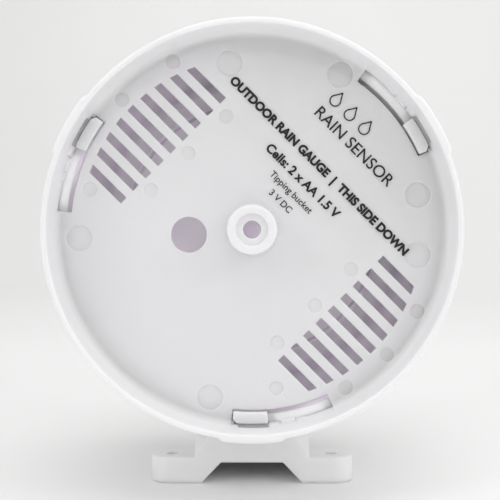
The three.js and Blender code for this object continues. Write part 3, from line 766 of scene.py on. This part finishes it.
def light_inside(power):
    """Flat lights in the shell: two beside and under the tipper and one at each end of the bucket, which
    face up from the cup's floor, one at each end under the cone, which faces the wall, and one in each
    window, which faces the collector's ring. They stand for the light that soaks in through the walls."""
    origin = to_row(np.zeros(3))
    for turn, place, facing, along, size, share, colour in INSIDE_LIGHTS:
        middle, facing, along = (to_row(about_axis(np.array(v, float), turn)) for v in (place, facing, along))
        light = area_light("inside", middle, size, power * share)
        first = Vector(along - origin).normalized()
        third = Vector(origin - facing).normalized()
        light.rotation_euler = Matrix((first, third.cross(first), third)).transposed().to_euler()
        light.data.color = colour
        light.visible_camera = False


def build_stage():
    settings = bpy.context.scene.rain_sensor
    backdrop()
    for name, place, target, size, share in SOFTBOXES:
        softbox(name, place, target, size, settings.key_power * share)
    light_inside(settings.inside_power)
    world = bpy.data.worlds.new("studio")
    world.use_nodes = True
    ground = next(n for n in world.node_tree.nodes if n.type == "BACKGROUND")
    ground.inputs["Color"].default_value = (1, 1, 1, 1)
    ground.inputs["Strength"].default_value = settings.fill
    bpy.context.scene.world = world
    bpy.context.scene.view_settings.view_transform = "Standard"
    lens = bpy.data.cameras.new("camera")
    lens.sensor_width = CAMERA["sensor"]
    lens.lens = CAMERA["lens"]
    lens.clip_start = 0.02
    holder = bpy.data.objects.new("camera", lens)
    holder.location = (0.0, CUP_LOW.y - CAMERA["away"], AXIS_Z * MM)
    holder.rotation_euler = (math.radians(90 - CAMERA["down"]), 0.0, math.radians(CAMERA["left"]))
    bpy.context.scene.collection.objects.link(holder)
    bpy.context.scene.camera = holder


# Add-on

class RainSensorSettings(PropertyGroup):
    """Sizes, colours and light that a user would change."""

    shell_colour: FloatVectorProperty(
        name="Cup colour", description="White of the drain cup",
        default=(0.812, 0.808, 0.818), size=3, min=0, max=1, subtype="COLOR",
    )
    # Painted light: the collector's white is set lighter than the cup's white, to brighten its ring where the
    # windows shade it
    funnel_colour_painted_lighter: FloatVectorProperty(
        name="Funnel colour", description="White of the collector",
        default=(0.83, 0.826, 0.836), size=3, min=0, max=1, subtype="COLOR",
    )
    # Painted light: the bracket's white is set far lighter than the cup's white, to brighten the bracket
    # where little light reaches it
    bracket_colour_painted_lighter: FloatVectorProperty(
        name="Bracket colour", description="White of the bracket",
        default=(0.965, 0.963, 0.969), size=3, min=0, max=1, subtype="COLOR",
    )
    inner_colour: FloatVectorProperty(
        name="Inner colour", description="White of the works' mouldings",
        default=(0.93, 0.915, 0.935), size=3, min=0, max=1, subtype="COLOR",
    )
    ink_colour: FloatVectorProperty(
        name="Ink colour", description="Pad-printed marks",
        default=(0.008, 0.008, 0.009), size=3, min=0, max=1, subtype="COLOR",
    )
    shell_gloss: FloatProperty(
        name="Shell roughness", description="Roughness of the shell's satin surface",
        default=0.4, min=0, max=1, subtype="FACTOR",
    )
    shell_depth: FloatProperty(
        name="Light depth", description="How far light soaks into the shell",
        default=0.0038, min=0, max=0.05, unit="LENGTH",
    )
    key_power: FloatProperty(
        name="Key power", description="Power of each softbox", default=1.48, min=0, unit="POWER",
    )
    inside_power: FloatProperty(
        name="Inside power", description="Power of the light that fills the shell",
        default=0.0098, min=0, unit="POWER",
    )
    fill: FloatProperty(name="Fill", description="Strength of the even studio light", default=0.51, min=0)


class BuildStage(Operator):
    """Floor, light and camera"""

    bl_idname = "rain_sensor.stage"
    bl_label = "Stage"

    def execute(self, context):
        build_stage()
        return {"FINISHED"}


class BuildCup(Operator):
    """Drain cup with its floor, boss, grids, windows and pads"""

    bl_idname = "rain_sensor.cup"
    bl_label = "Drain cup"

    def execute(self, context):
        build_cup()
        return {"FINISHED"}


class BuildCollector(Operator):
    """Collector funnel with its skirt and hooks"""

    bl_idname = "rain_sensor.collector"
    bl_label = "Collector"

    def execute(self, context):
        build_collector()
        return {"FINISHED"}


class BuildPrint(Operator):
    """Plain printed marks on the cup's floor"""

    bl_idname = "rain_sensor.floor_print"
    bl_label = "Floor print"

    def execute(self, context):
        build_print()
        return {"FINISHED"}


class BuildBracket(Operator):
    """Mounting bracket"""

    bl_idname = "rain_sensor.bracket"
    bl_label = "Bracket"

    def execute(self, context):
        build_bracket()
        return {"FINISHED"}


class BuildScreen(Operator):
    """Leaf screen in the collector"""

    bl_idname = "rain_sensor.screen"
    bl_label = "Leaf screen"

    def execute(self, context):
        build_screen()
        return {"FINISHED"}


class BuildWorks(Operator):
    """Finishes of the tipper, the housing and what it holds"""

    bl_idname = "rain_sensor.works"
    bl_label = "Works"

    def execute(self, context):
        build_works()
        return {"FINISHED"}


BUILDERS = (BuildStage, BuildCup, BuildCollector, BuildPrint, BuildBracket, BuildScreen, BuildWorks)


class RAINSENSOR_PT_build(Panel):
    """Lists the settings and the operators"""

    bl_label = "Rain Sensor"
    bl_space_type = "VIEW_3D"
    bl_region_type = "UI"
    bl_category = "Rain Sensor"

    def draw(self, context):
        for name in RainSensorSettings.__annotations__:
            self.layout.prop(context.scene.rain_sensor, name)
        for builder in BUILDERS:
            self.layout.operator(builder.bl_idname)


CLASSES = (RainSensorSettings, *BUILDERS, RAINSENSOR_PT_build)


def register():
    for added in CLASSES:
        bpy.utils.register_class(added)
    bpy.types.Scene.rain_sensor = PointerProperty(type=RainSensorSettings)


def unregister():
    del bpy.types.Scene.rain_sensor
    for added in reversed(CLASSES):
        bpy.utils.unregister_class(added)


def main():
    register()
    for builder in BUILDERS:
        group, operator = builder.bl_idname.split(".")
        getattr(getattr(bpy.ops, group), operator)()


if __name__ == "__main__":
    main()
